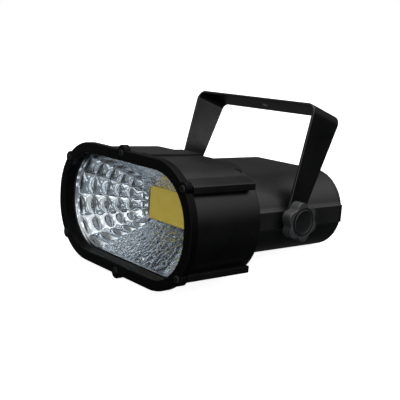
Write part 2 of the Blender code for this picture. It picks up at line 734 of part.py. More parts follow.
def add_controls(build):
    """The display, its board, the four sprung buttons and the fuse holder."""
    clear_red = material("display_lens", (0.05, 0.005, 0.005), 0.15)
    lens = head_plate("display", [rectangle(39.4 * MM, 11.4 * MM, DISPLAY)],
                      REAR_END - 4 * MM, REAR_END - 0.4 * MM)
    build.add("display", lens, clear_red)
    board = head_plate("control_board", [rectangle(44 * MM, 30 * MM, (0, 11 * MM))],
                       REAR_END - 12 * MM, REAR_END - 10.4 * MM)
    build.add("control_board", board, board_green())
    collar = REAR_END - COVER_DEPTH - 0.4 * MM
    profile = [(0, BUTTON_PROUD), (BUTTON_RADIUS - 0.5 * MM, BUTTON_PROUD),
               (BUTTON_RADIUS, BUTTON_PROUD - 0.5 * MM), (BUTTON_RADIUS, collar - REAR_END),
               (4.4 * MM, collar - REAR_END), (4.4 * MM, collar - REAR_END - 1.2 * MM),
               (1.8 * MM, collar - REAR_END - 1.2 * MM), (1.8 * MM, -8.6 * MM), (0, -8.6 * MM)]
    for number, x in enumerate(BUTTON_X, 1):
        place = (x, REAR_END, BUTTON_Z)
        build.turned(f"menu_button_{number}", profile, black_plastic(), at(*place, BACKWARD),
                     place, steps=16)
    fuse = [(0, 5 * MM), (5.2 * MM, 5 * MM), (6.2 * MM, 4.2 * MM), (7.4 * MM, 2 * MM),
            (7.4 * MM, GAP), (6 * MM, GAP), (6 * MM, -20 * MM), (0, -20 * MM)]
    build.turned("fuse_holder", fuse, black_plastic(), at(FUSE[0], REAR_END, FUSE[1], BACKWARD),
                 steps=20)


def add_safety_eye(build):
    """A steel eye for the safety cable, below the middle of the rear cover."""
    base_start = REAR_END + GAP
    base = head_plate("safety_eye", [rectangle(26 * MM, 12 * MM, (0, EYE_Z))],
                      base_start, base_start + 2 * MM)
    eye = build.add("safety_eye", base, zinc())
    reach = 8 * MM
    tab = [(base_start + MM, -6 * MM), (base_start + reach, -6 * MM)]
    tab += arc((base_start + reach, 0), 6 * MM, -90, 90, 10)[1:-1]
    tab += [(base_start + reach, 6 * MM), (base_start + MM, 6 * MM)]
    hole = circle(3.6 * MM, (base_start + reach, 0), 18)
    outlines = [[(x, y) for y, x in tab], [(x, y) for y, x in hole]]
    build.join(eye, build.tool(flat_mesh("tab", outlines, 3 * MM), at(0, 0, EYE_Z - 1.5 * MM)))


# ---------------------------------------------------------------- assembly

def lean_back(build):
    """Lay the light on its bottom lug and the rear edge of its body, centred on the origin."""
    drop = MIDDLE_LUG_Z + LUG_RADIUS - REAR_HALF_HEIGHT
    run = REAR_END - RIM_DEPTH
    build.assembly.rotation_euler = (-math.atan2(drop, run), 0, 0)
    bpy.context.view_layer.update()
    graph = bpy.context.evaluated_depsgraph_get()
    low = Vector((math.inf,) * 3)
    high = Vector((-math.inf,) * 3)
    for piece in build.parts.objects:
        if piece.type != "MESH":
            continue
        solid = piece.evaluated_get(graph)
        for vertex in solid.data.vertices:
            spot = solid.matrix_world @ vertex.co
            low = Vector(map(min, low, spot))
            high = Vector(map(max, high, spot))
    build.assembly.location = (-(low.x + high.x) / 2, -(low.y + high.y) / 2, -low.z)


def main():
    for item in list(bpy.data.objects):
        bpy.data.objects.remove(item)
    build = Builder()
    add_bezel(build)
    back_of_glass = add_window(build)
    add_reflector(build, back_of_glass)
    sink_start = add_led(build)
    add_heat_sink(build, sink_start)
    add_front_housing(build)
    add_rear_housing(build)
    add_yoke(build)
    add_pivot(build, "right", 1)
    add_pivot(build, "left", -1)
    add_driver(build)
    add_rear_cover(build)
    add_power_inlet(build)
    for name, spot in DATA_SOCKETS.items():
        add_data_socket(build, name, spot)
    add_controls(build)
    add_safety_eye(build)
    lean_back(build)


main()
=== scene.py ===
"""Looks for a compact LED stage spotlight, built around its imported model.

Shapes are laid out in the head's own axes, in millimetres: X across, Y from the bezel's face to
the rear cover, Z up, with the beam axis at X = Z = 0.  The record's mounts place those axes.
"""
import json
import math

import bmesh
import bpy
import numpy as np
from mathutils import Matrix, Vector, noise


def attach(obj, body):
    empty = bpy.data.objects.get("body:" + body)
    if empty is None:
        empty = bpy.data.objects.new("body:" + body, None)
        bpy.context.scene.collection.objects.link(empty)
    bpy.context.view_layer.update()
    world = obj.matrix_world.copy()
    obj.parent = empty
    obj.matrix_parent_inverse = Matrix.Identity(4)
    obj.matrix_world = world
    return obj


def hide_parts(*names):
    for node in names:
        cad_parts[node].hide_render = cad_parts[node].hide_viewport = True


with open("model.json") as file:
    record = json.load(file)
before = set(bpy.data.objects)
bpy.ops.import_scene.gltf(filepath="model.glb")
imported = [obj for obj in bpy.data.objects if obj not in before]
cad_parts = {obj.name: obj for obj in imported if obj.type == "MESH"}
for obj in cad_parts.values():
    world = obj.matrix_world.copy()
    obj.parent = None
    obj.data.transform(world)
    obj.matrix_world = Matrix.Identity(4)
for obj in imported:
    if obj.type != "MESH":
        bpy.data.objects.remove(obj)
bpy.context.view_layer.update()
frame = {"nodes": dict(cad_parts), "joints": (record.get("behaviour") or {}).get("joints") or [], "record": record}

MM = 0.001

# Obround sections: half width, half height and corner radius
BEZEL = (111.7, 60.0, 57.0)
OPENING_INSET = 10.3
SLEEVE_INSET = 8.6
HOUSING_FRONT = (106.8, 55.9, 52.6)
HOUSING_REAR = (105.2, 54.7, 51.2)
HOUSING_MOUTH = (87.2, 41.9, 41.9)
REFLECTOR_FRONT = (99.3, 47.7, 44.7)
REFLECTOR_REAR = (37.5, 17.5, 8.0)
REFLECTOR_FLANGE = (103.0, 52.0, 49.0)

RIM_DEPTH = 8.0
SLEEVE_END = 11.0
HOUSING_START = 8.3
HOUSING_END = 87.0
REFLECTOR_START = 17.7
REFLECTOR_END = 65.3
REFLECTOR_WALL = 1.2
REFLECTOR_CURVE = 0.82
EMITTER_START = 66.0
EMITTER_DEPTH = 1.0
EMITTER_MARGIN = 0.6
EMITTER_CORNER = 4.0
EMITTER_RIM = 0.25
FACET_RINGS = (0.0, 0.21, 0.42, 0.60, 0.76, 0.93, 1.0)
FACET_SIZES = (1.0, 1.0, 0.9, 0.8, 0.7, 0.15)
FACET_SECTORS = 6
FACET_EDGE = 0.35
FACET_CROWN = 2.1
RING_STEPS = 11
END_STEPS = 102
WALL_STEPS = 130
PEBBLE_SIZE = 3.4
PEBBLE_HEIGHT = 1.0
MIRROR_CHAMFER = 1.3
WALL = 3.0
HOUSING_FILLET = 1.5
RIDGE_START = 8.6
RIDGE_END = 80.0
RIB_WIDTH = 32.0
KEEL_END = 24.0
REAR_START = 76.0
REAR_END = 219.8
REAR_HALF_WIDTH = 85.3
REAR_HALF_HEIGHT = 41.0
BAND_HALF_WIDTH = 86.1
BAND_HALF_HEIGHT = 9.0
BAND_CHAMFER = 2.2
BAND_EDGE = 0.4
REAR_FILLET = 0.8

# Screw lugs: X and Z of each, and Z of its screw
LUG_RADIUS = 6.4
LUGS = [(i * 95.3, j * 39.6, j * 39.6) for j in (1, -1) for i in (-1, 1)]
LUGS += [(0.0, j * 58.4, j * 57.0) for j in (1, -1)]
RADIAL_SCREW_Y = 79.5
RADIAL_SCREW_ANGLE = math.radians(63)
RADIAL_SEAT_RADIUS = 3.5
RADIAL_SEAT_DEPTH = 1.6

# Screws: head radius and height, shank radius and length, half width of the cross
BEZEL_SCREW = (3.8, 2.2, 1.4, 10.0, 2.3)
RADIAL_SCREW = (3.2, 1.1, 1.4, 6.0, 1.9)
BEZEL_SCREW_Y = 2.1
RADIAL_SCREW_SUNK = 1.3

PIVOT_Y = 146.4
YOKE_HALF_SPAN = 90.0
YOKE_HEIGHT = 113.3
YOKE_STRAP = 2.8
YOKE_BEND = 10.0
YOKE_BAR_HALF = 20.0
YOKE_EYE_RADIUS = 10.5
YOKE_EDGE = 0.5
YOKE_STEPS = 12
PIVOT_HOLE_RADIUS = 4.5
CLAMP_HOLE_RADIUS = 6.25

KNOB_BASE = 92.2
KNOB_FACE = 104.0
KNOB_LOBES = 6
KNOB_TURN = math.radians(10)
KNOB_RADIUS = 20.0
KNOB_WAIST = 16.4
KNOB_BORE = 4.3
KNOB_STEPS = KNOB_LOBES * 24
CAP_RADIUS = 12.5
CAP_DEPTH = 1.9
GROOVE_RADIUS = 14.4
GROOVE_DEPTH = 2.2

# Softened edges of the solids that still show, in millimetres
SOFT_EDGES = {"rear_cover": 0.35, "power_inlet": 0.3, "data_in_socket": 0.3,
              "data_out_socket": 0.3, "safety_eye": 0.5, "fuse_holder": 0.3, "display": 0.2}

# Camera, in the head's axes
CAMERA_AZIMUTH = math.radians(50.11)
CAMERA_ELEVATION = math.radians(10.48)
CAMERA_ROLL = math.radians(4.03)
CAMERA_PLACE = (584.5, -387.95, 146.8)
CAMERA_LENS = 67.65


# ---------------------------------------------------------------- places

def mount(name):
    return next(m for m in frame["record"]["mounts"] if m["name"] == name)


def joint(name):
    return next(j for j in frame["joints"] if j["name"] == name)


def axes(right, back, up, origin):
    columns = [Vector(v) for v in (right, back, up, origin)]
    return Matrix([[columns[c][r] for c in range(4)] for r in range(3)] + [[0, 0, 0, 1]])


def head_axes():
    """The head's axes in the row frame, from the mount on the bezel's face."""
    back = -Vector(mount("beam_face")["axis"])
    right = Vector((1, 0, 0))
    face = Vector(mount("beam_face")["pos_m"])
    origin = face - right * face.x
    return axes(right, back, right.cross(back), origin)


HEAD = head_axes()


def yoke_axes():
    """The yoke's axes in the row frame: its pivot, with Z towards its bar."""
    up = Vector(mount("yoke_bar")["axis"])
    right = Vector((1, 0, 0))
    return axes(right, up.cross(right), up, joint("yoke_tilt")["pos_m"])


YOKE = yoke_axes()


def at(x=0.0, y=0.0, z=0.0, turn=None):
    place = Matrix.Translation((x, y, z))
    return place @ turn if turn is not None else place


FORWARD = Matrix.Rotation(math.radians(90), 4, "X")
BACKWARD = Matrix.Rotation(math.radians(-90), 4, "X")


def side_turn(side):
    """Turns local Z outwards along the head's X, on the right (1) or the left (-1)."""
    return Matrix.Rotation(math.radians(90 * side), 4, "Y")


# ---------------------------------------------------------------- outlines

def arc(center, radius, start, end, steps):
    points = []
    for i in range(steps + 1):
        angle = math.radians(start + (end - start) * i / steps)
        points.append((center[0] + radius * math.cos(angle), center[1] + radius * math.sin(angle)))
    return points


def circle(radius, steps=48):
    return arc((0, 0), radius, 0, 360, steps)[:-1]


def obround(section, steps=24):
    half_width, half_height, radius = section
    x = half_width - radius
    z = half_height - radius
    points = []
    for cx, cz, start in ((x, z, 0), (-x, z, 90), (-x, -z, 180), (x, -z, 270)):
        points += arc((cx, cz), radius, start, start + 90, steps)
    return points


def inset(section, amount):
    return tuple(size - amount for size in section)


def rear_outline(amount=0.0):
    """The rear body's section: round ends with a flat, chamfered band along each side."""
    radius = REAR_HALF_HEIGHT - amount
    center = REAR_HALF_WIDTH - REAR_HALF_HEIGHT
    band = BAND_HALF_HEIGHT - amount / 2
    side = BAND_HALF_WIDTH - amount
    start = math.degrees(math.asin((band + BAND_CHAMFER) / radius))
    right = arc((center, 0), radius, start, 90, 24)
    left = [(-x, z) for x, z in reversed(right)]
    upper = [(side, band - BAND_EDGE), (side - BAND_EDGE, band)] + right + left
    upper += [(-side + BAND_EDGE, band), (-side, band - BAND_EDGE)]
    lower = [(-x, -z) for x, z in upper]
    return upper + lower


# ---------------------------------------------------------------- mesh making

def new_mesh(name, bm):
    bmesh.ops.remove_doubles(bm, verts=bm.verts, dist=0.001)
    bmesh.ops.recalc_face_normals(bm, faces=bm.faces)
    mesh = bpy.data.meshes.new(name)
    bm.to_mesh(mesh)
    bm.free()
    return mesh


def loft(name, rows, closed=False, caps=False):
    """A surface through rings of equal point counts, each a list of (x, y, z)."""
    bm = bmesh.new()
    rings = [[bm.verts.new(point) for point in row] for row in rows]
    following = rings[1:] + rings[:1] if closed else rings[1:]
    for near, far in zip(rings, following):
        count = len(near)
        for i in range(count):
            j = (i + 1) % count
            bm.faces.new((near[i], near[j], far[j], far[i]))
    if caps:
        bm.faces.new(rings[0])
        bm.faces.new(rings[-1])
    return new_mesh(name, bm)


def across(outline, y):
    """An outline across the beam, at a station of the head."""
    return [(x, y, z) for x, z in outline]


def turned(name, profile, steps=48):
    """A solid of revolution about Z, from (radius, height) points that start and end on it."""
    rows = []
    for radius, height in profile:
        rows.append([(x, y, height) for x, y in circle(max(radius, 1e-4), steps=steps)])
    return loft(name, rows, caps=True)


def prism(name, outline, depth, edge=0.0):
    """A plate from an outline in XY, from Z = 0 to depth, with its rims rounded."""
    mesh = loft(name, [[(x, y, 0) for x, y in outline], [(x, y, depth) for x, y in outline]],
                caps=True)
    if edge:
        bm = bmesh.new()
        bm.from_mesh(mesh)
        rims = [e for e in bm.edges if len(e.link_faces) == 2
                and e.calc_face_angle(0) > math.radians(30)]
        bmesh.ops.bevel(bm, geom=rims, offset=edge, segments=2, profile=0.5,
                        affect="EDGES", clamp_overlap=True)
        mesh = new_mesh(name, bm)
    return mesh


def moved(mesh, matrix):
    mesh.transform(matrix)
    return mesh


def link(name, mesh):
    made = bpy.data.objects.new(name, mesh)
    bpy.context.scene.collection.objects.link(made)
    return made


def solid(mesh, tools, operation="DIFFERENCE"):
    """The mesh after cutting, or joining, every tool."""
    base = link("base", mesh)
    helpers = []
    for tool in tools:
        helper = link("helper", tool)
        helpers.append(helper)
        step = base.modifiers.new("step", "BOOLEAN")
        step.operation = operation
        step.solver = "EXACT"
        step.object = helper
    graph = bpy.context.evaluated_depsgraph_get()
    result = bpy.data.meshes.new_from_object(base.evaluated_get(graph))
    for item in [base, *helpers]:
        bpy.data.objects.remove(item)
    return result


def merged(meshes):
    """One mesh holding all of these."""
    bm = bmesh.new()
    for mesh in meshes:
        bm.from_mesh(mesh)
    mesh = bpy.data.meshes.new("merged")
    bm.to_mesh(mesh)
    bm.free()
    return mesh


def piece(name, mesh, body, material, replaced, place=HEAD, angle=35, flat=True):
    """A finished piece of the light, laid out in millimetres in the axes of its place."""
    scale = Matrix.Diagonal((MM, MM, MM, 1))
    mesh.transform(place @ scale)
    made = link(name, mesh)
    mesh.materials.clear()
    mesh.materials.append(material)
    mesh.shade_smooth()
    mesh.set_sharp_from_angle(angle=math.radians(angle))
    if flat:
        weighting = made.modifiers.new("flat_faces", "WEIGHTED_NORMAL")
        weighting.keep_sharp = True
    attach(made, body)
    for node in replaced:
        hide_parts(node)


# ---------------------------------------------------------------- materials

class Nodes:
    """Short names for building a material's nodes."""

    def __init__(self, name):
        self.material = bpy.data.materials.new(name)
        self.material.use_nodes = True
        self.tree = self.material.node_tree
        self.shader = self.tree.nodes["Principled BSDF"]
        self.object_coordinates = self.add("ShaderNodeTexCoord").outputs["Object"]

    def add(self, kind, inputs=None, **settings):
        node = self.tree.nodes.new(kind)
        for key, value in settings.items():
            setattr(node, key, value)
        for key, value in (inputs or {}).items():
            self.feed(node.inputs[key], value)
        return node

    def feed(self, socket, value):
        if isinstance(value, bpy.types.NodeSocket):
            self.tree.links.new(value, socket)
        else:
            socket.default_value = value

    def set(self, **values):
        for key, value in values.items():
            self.feed(self.shader.inputs[key.replace("_", " ")], value)

    def noise(self, scale, detail=3.0, roughness=0.5):
        node = self.add("ShaderNodeTexNoise", {"Scale": scale, "Detail": detail,
                                               "Roughness": roughness})
        self.feed(node.inputs["Vector"], self.object_coordinates)
        return node.outputs["Fac"]

    def remap(self, value, low, high, to_low, to_high):
        node = self.add("ShaderNodeMapRange", {"Value": value, "From Min": low, "From Max": high,
                                               "To Min": to_low, "To Max": to_high})
        return node.outputs["Result"]

    def maths(self, operation, first, second):
        node = self.add("ShaderNodeMath", operation=operation)
        self.feed(node.inputs[0], first)
        self.feed(node.inputs[1], second)
        return node.outputs[0]

    def mix(self, share, first, second):
        node = self.add("ShaderNodeMix", data_type="RGBA")
        self.feed(node.inputs["Factor"], share)
        self.feed(node.inputs[6], (*first, 1) if isinstance(first, tuple) else first)
        self.feed(node.inputs[7], (*second, 1) if isinstance(second, tuple) else second)
        return node.outputs[2]

    def bump(self, height, strength, distance):
        node = self.add("ShaderNodeBump", {"Strength": strength, "Distance": distance,
                                           "Height": height})
        return node.outputs["Normal"]


def black_paint(name, shine, dark=(0.0018, 0.0018, 0.0019), light=(0.0032, 0.0032, 0.0034),
                roughness=(0.29, 0.37)):
    """Fine-textured black powder coat."""
    n = Nodes(name)
    mottle = n.noise(38.0, 4.0, 0.6)
    grain = n.noise(1700.0, 2.0, 0.6)
    orange_peel = n.noise(420.0, 2.0, 0.5)
    height = n.maths("ADD", n.maths("MULTIPLY", grain, 0.35), orange_peel)
    n.set(Base_Color=n.mix(mottle, dark, light), IOR=1.5, Specular_IOR_Level=shine,
          Roughness=n.remap(mottle, 0.3, 0.7, *roughness), Normal=n.bump(height, 0.16, 0.00012))
    return n.material


def black_plastic(name="moulded_plastic", dark=(0.005, 0.005, 0.0052), light=(0.008, 0.008, 0.0082),
                  roughness=(0.34, 0.46), shine=0.5):
    """Injection-moulded plastic with a spark-eroded grain."""
    n = Nodes(name)
    flow = n.noise(26.0, 3.0, 0.5)
    grain = n.noise(2100.0, 2.0, 0.7)
    n.set(Base_Color=n.mix(flow, dark, light), IOR=1.49, Specular_IOR_Level=shine,
          Roughness=n.remap(flow, 0.3, 0.7, *roughness), Normal=n.bump(grain, 0.12, 0.0001))
    return n.material


def rubber():
    n = Nodes("rubber_pad")
    dust = n.noise(90.0, 4.0, 0.7)
    n.set(Base_Color=n.mix(dust, (0.012, 0.012, 0.012), (0.03, 0.03, 0.03)), IOR=1.45,
          Roughness=n.remap(dust, 0.2, 0.8, 0.7, 0.9), Normal=n.bump(dust, 0.15, 0.0002))
    return n.material


def metal(name, colour, darker, roughness, metallic=1.0):
    """Plated or machined metal with fine scratches."""
    n = Nodes(name)
    patina = n.noise(60.0, 5.0, 0.6)
    lines = n.noise(900.0, 3.0, 0.6)
    n.set(Base_Color=n.mix(patina, darker, colour), Metallic=metallic,
          Roughness=n.remap(lines, 0.3, 0.7, *roughness), Normal=n.bump(lines, 0.08, 0.00008))
    return n.material


def mirror():
    """Vacuum-metallised plastic."""
    n = Nodes("metallised_mirror")
    haze = n.noise(55.0, 4.0, 0.6)
    ripple = n.noise(260.0, 2.0, 0.5)
    n.set(Base_Color=n.mix(haze, (0.66, 0.70, 0.74), (0.76, 0.79, 0.83)), Metallic=1.0,
          Roughness=n.remap(haze, 0.3, 0.7, 0.02, 0.055), Normal=n.bump(ripple, 0.12, 0.0002))
    return n.material


def glass():
    n = Nodes("clear_glass")
    smear = n.noise(18.0, 3.0, 0.5)
    n.set(Base_Color=(0.97, 0.985, 0.98, 1), Transmission_Weight=1.0, IOR=1.45,
          Roughness=n.remap(smear, 0.4, 0.8, 0.0, 0.015))
    return n.material


def phosphor():
    """Yellow silicone over a fine grid of dies, with a faint painted glow that stands in for light falling on the
    unlit LED.
    """
    n = Nodes("phosphor")
    cloud = n.noise(60.0, 3.0, 0.5)
    brick = n.add("ShaderNodeTexBrick", {"Scale": 400.0, "Mortar Size": 0.012, "Bias": 0.0,
                                         "Brick Width": 0.8, "Row Height": 0.8,
                                         "Color1": (1, 1, 1, 1), "Color2": (0.94, 0.94, 0.94, 1),
                                         "Mortar": (0.72, 0.72, 0.72, 1)}, offset=0.0)
    swap = n.add("ShaderNodeMapping")
    swap.inputs["Rotation"].default_value = (math.radians(90), 0, 0)
    n.feed(swap.inputs["Vector"], n.object_coordinates)
    n.feed(brick.inputs["Vector"], swap.outputs["Vector"])
    colour = n.mix(cloud, (0.84, 0.56, 0.04), (0.94, 0.76, 0.16))
    tint = n.add("ShaderNodeMix", data_type="RGBA", blend_type="MULTIPLY")
    n.feed(tint.inputs["Factor"], 0.55)
    n.feed(tint.inputs[6], colour)
    n.feed(tint.inputs[7], brick.outputs["Color"])
    # The emission is a painted glow: the LED is off, and this brightens the phosphor in place of light falling on
    # it.
    n.set(Base_Color=tint.outputs[2], Roughness=n.remap(cloud, 0.3, 0.7, 0.32, 0.45), IOR=1.41,
          Emission_Color=(0.92, 0.68, 0.08, 1), Emission_Strength=0.19)
    return n.material


def ceramic():
    n = Nodes("ceramic")
    speckle = n.noise(700.0, 2.0, 0.5)
    n.set(Base_Color=n.mix(speckle, (0.56, 0.57, 0.56), (0.66, 0.67, 0.66)),
          Roughness=n.remap(speckle, 0.3, 0.7, 0.35, 0.55))
    return n.material


def circuit_board():
    """Green solder mask over copper tracks."""
    n = Nodes("circuit_board")
    tracks = n.add("ShaderNodeTexBrick", {"Scale": 160.0, "Mortar Size": 0.03,
                                          "Color1": (0, 0, 0, 1), "Color2": (0, 0, 0, 1),
                                          "Mortar": (1, 1, 1, 1)})
    n.feed(tracks.inputs["Vector"], n.object_coordinates)
    n.set(Base_Color=n.mix(tracks.outputs["Fac"], (0.012, 0.10, 0.035), (0.05, 0.22, 0.09)),
          Roughness=n.remap(n.noise(300.0), 0.3, 0.7, 0.3, 0.5))
    return n.material


def sleeve(name, dark, light, roughness):
    n = Nodes(name)
    cloud = n.noise(80.0, 3.0, 0.5)
    n.set(Base_Color=n.mix(cloud, dark, light), Roughness=n.remap(cloud, 0.3, 0.7, *roughness))
    return n.material


PAINT = black_paint("powder_coat", 0.74, roughness=(0.36, 0.44))
HOUSING_PAINT = black_paint("housing_coat", 0.5)
YOKE_PAINT = black_paint("strap_coat", 0.5)
BEZEL_PLASTIC = black_plastic("bezel_plastic", (0.0012, 0.0012, 0.0013), (0.0024, 0.0024, 0.0025),
                              (0.34, 0.44), 0.07)
PLASTIC = black_plastic()
KNOB_PLASTIC = black_plastic("soft_touch_plastic", (0.022, 0.022, 0.0225), (0.03, 0.03, 0.0305),
                             (0.48, 0.6))
MATERIALS = {
    "black_paint": PAINT,
    "black_plastic": PLASTIC,
    "black_steel": metal("black_oxide", (0.05, 0.05, 0.052), (0.025, 0.025, 0.026), (0.3, 0.42),
                         metallic=0.85),
    "rubber": rubber(),
    "zinc": metal("zinc_plate", (0.62, 0.62, 0.63), (0.42, 0.42, 0.44), (0.24, 0.38)),
    "brass": metal("turned_brass", (0.78, 0.58, 0.28), (0.6, 0.42, 0.18), (0.24, 0.36)),
    "aluminium": metal("extruded_aluminium", (0.74, 0.75, 0.77), (0.6, 0.61, 0.63), (0.3, 0.45)),
    "mirror": mirror(),
    "clear_glass": glass(),
    "phosphor": phosphor(),
    "ceramic": ceramic(),
    "board_green": circuit_board(),
    "ferrite": sleeve("taped_ferrite", (0.03, 0.03, 0.03), (0.07, 0.065, 0.05), (0.5, 0.7)),
    "capacitor_sleeve": sleeve("shrink_sleeve", (0.015, 0.03, 0.09), (0.03, 0.05, 0.13),
                               (0.3, 0.4)),
    "display_lens": sleeve("smoked_window", (0.03, 0.003, 0.003), (0.055, 0.006, 0.006),
                           (0.08, 0.14)),
}


# ---------------------------------------------------------------- bezel and screws

def bezel_profile():
    """The frame's closed section, as (inset, y) points, with rounded corners."""
    edge = 1.1
    lip = 0.9
    heel = 0.6
    steps = 4
    profile = arc((edge, edge), edge, 180, 270, steps)
    profile += arc((OPENING_INSET - lip, lip), lip, 270, 360, steps)
    profile += [(OPENING_INSET, SLEEVE_END), (SLEEVE_INSET, SLEEVE_END),
                (SLEEVE_INSET, RIM_DEPTH)]
    return profile + arc((heel, RIM_DEPTH - heel), heel, 90, 180, steps)


def add_bezel():
    rows = [across(obround(inset(BEZEL, amount), 28), y) for amount, y in bezel_profile()]
    ring = loft("bezel", rows, closed=True)
    lugs = []
    seats = []
    for x, z, screw_z in LUGS:
        body = turned("lug", [(0, 7.9), (LUG_RADIUS - 0.6, 7.9), (LUG_RADIUS, 7.3),
                              (LUG_RADIUS, 1.4), (LUG_RADIUS - 0.25, 0.8),
                              (LUG_RADIUS - 0.9, 0.35), (LUG_RADIUS - 1.6, 0.25), (0, 0.25)])
        lugs.append(moved(body, at(x, 0, z, BACKWARD)))
        seat = turned("seat", [(0, 2.4), (4.2, 2.4), (4.2, -3), (0, -3)], 40)
        seats.append(moved(seat, at(x, 0, screw_z, BACKWARD)))
    ring = solid(solid(ring, lugs, "UNION"), seats)
    piece("bezel", ring, "head", BEZEL_PLASTIC, ["front_bezel"], angle=32)


def screw_head(radius, height, shank, length, drive):
    """A pan-head screw with a cross recess."""
    flat = radius * 0.62
    half = height * 0.5
    dome = []
    for i in range(7):
        angle = math.radians(90 - 15 * i)
        dome.append((flat + radius * 0.38 * math.cos(angle), half + half * math.sin(angle)))
    profile = [(0, height)] + dome + [(radius, 0), (shank, 0), (shank, shank - length),
                                      (0, -length)]
    body = turned("screw", profile, 36)
    width = drive * 0.34
    cross = []
    for turn in (0, 90):
        slot = prism("slot", [(-drive, -width / 2), (drive, -width / 2), (drive, width / 2),
                              (-drive, width / 2)], height)
        turned_slot = Matrix.Rotation(math.radians(turn), 4, "Z")
        cross.append(moved(slot, at(0, 0, height * 0.35, turned_slot)))
    return solid(body, cross)


def add_screws(names, places, shape, material):
    blank = screw_head(*shape)
    for name, place in zip(names, places):
        piece(f"{name}_detailed", moved(blank.copy(), place), "head", MATERIALS[material],
              [name], angle=30)


def radial_frame(side, level):
    """A frame on the housing's shoulder, its Z along the surface's outward normal."""
    half_width, half_height, radius = HOUSING_REAR
    over = math.cos(RADIAL_SCREW_ANGLE)
    up = math.sin(RADIAL_SCREW_ANGLE)
    x = side * (half_width - radius + radius * over)
    z = level * (half_height - radius + radius * up)
    tilt = math.atan2(side * over, level * up)
    return at(x, RADIAL_SCREW_Y, z, Matrix.Rotation(tilt, 4, "Y"))


RADIAL_PLACES = [radial_frame(i, j) for j in (1, -1) for i in (-1, 1)]


# ---------------------------------------------------------------- casings

def ridge_outline(side, level):
    shape = ((101.8, 35.5), (101.8, 41.8), (99, 43), (86.5, 46.5), (84.7, 43.9), (93.8, 35.5))
    return [(side * x, level * z) for x, z in shape]


def along_head(mesh, end):
    """Turns a plate made in XY to lie across the beam, from a station of the head forwards."""
    return moved(mesh, at(0, end, 0) @ FORWARD)


def add_front_housing():
    rows = [across(obround(HOUSING_FRONT), HOUSING_START)]
    steps = 5
    for i in range(steps + 1):
        angle = math.radians(90 * i / steps)
        section = inset(HOUSING_REAR, HOUSING_FILLET * (1 - math.cos(angle)))
        y = HOUSING_END - HOUSING_FILLET + HOUSING_FILLET * math.sin(angle)
        rows.append(across(obround(section), y))
    rows.append(across(obround(HOUSING_MOUTH), HOUSING_END))
    rows.append(across(obround(HOUSING_MOUTH), HOUSING_END - WALL))
    rows.append(across(obround(inset(HOUSING_REAR, WALL)), HOUSING_END - WALL))
    rows.append(across(obround(inset(HOUSING_FRONT, WALL)), HOUSING_START))
    shell = loft("front_shell", rows, closed=True)
    cuts = []
    for place in RADIAL_PLACES:
        seat = turned("seat", [(0, 3), (RADIAL_SEAT_RADIUS, 3),
                               (RADIAL_SEAT_RADIUS, -RADIAL_SEAT_DEPTH),
                               (0, -RADIAL_SEAT_DEPTH)], 40)
        cuts.append(moved(seat, place))
    shell = solid(shell, cuts)
    extras = []
    for i in (-1, 1):
        for j in (-1, 1):
            ridge = prism("ridge", ridge_outline(i, j), RIDGE_END - RIDGE_START, 0.5)
            extras.append(along_head(ridge, RIDGE_END))
    side = ((RIDGE_START, 52.6), (RIDGE_START, 59.4), (16, 59.2), (22, 57.6), (86, 56.6),
            (86, 51.6))
    rib = prism("rib", side, RIB_WIDTH, 0.45)
    sideways = Matrix(((0, 0, 1, -RIB_WIDTH / 2), (1, 0, 0, 0), (0, 1, 0, 0), (0, 0, 0, 1)))
    extras.append(moved(rib, sideways))
    keel = prism("keel", [(-9, -59.4), (9, -59.4), (9, -53.8), (-9, -53.8)],
                 KEEL_END - RIDGE_START, 0.5)
    extras.append(along_head(keel, KEEL_END))
    piece("front_shell", merged([shell, *extras]), "head", HOUSING_PAINT,
          ["front_housing"])


def add_rear_housing():
    rows = [across(rear_outline(), REAR_START)]
    for i in range(4):
        angle = math.radians(30 * i)
        rows.append(across(rear_outline(REAR_FILLET * (1 - math.cos(angle))),
                           REAR_END - REAR_FILLET + REAR_FILLET * math.sin(angle)))
    rows.append(across(rear_outline(WALL), REAR_END))
    rows.append(across(rear_outline(WALL), REAR_START))
    piece("rear_shell", loft("rear_shell", rows, closed=True), "head", PAINT,
          ["rear_housing"], angle=30)


# ---------------------------------------------------------------- yoke and knobs

def yoke_path():
    """Stations along the outer face of the strap: X, height above the pivot, half width."""
    straight = YOKE_HEIGHT - YOKE_BEND
    taper = (YOKE_BAR_HALF - YOKE_EYE_RADIUS) / straight
    stations = []
    # The round end starts just short of its tip, so that its first section has some width
    for i in range(YOKE_STEPS):
        angle = math.radians(89.9 * (1 - i / YOKE_STEPS))
        stations.append((YOKE_HALF_SPAN, -YOKE_EYE_RADIUS * math.sin(angle),
                         YOKE_EYE_RADIUS * math.cos(angle)))
    for i in range(YOKE_STEPS + 1):
        height = straight * i / YOKE_STEPS
        stations.append((YOKE_HALF_SPAN, height, YOKE_EYE_RADIUS + taper * height))
    for i in range(1, YOKE_STEPS + 1):
        angle = math.radians(90 * i / YOKE_STEPS)
        stations.append((YOKE_HALF_SPAN - YOKE_BEND * (1 - math.cos(angle)),
                         straight + YOKE_BEND * math.sin(angle), YOKE_BAR_HALF))
    return stations + [(-x, height, half) for x, height, half in reversed(stations)]


def drill(radius, reach):
    """A cylinder about Z that reaches as far above the origin as below it."""
    return turned("drill", [(0, reach), (radius, reach), (radius, -reach), (0, -reach)])


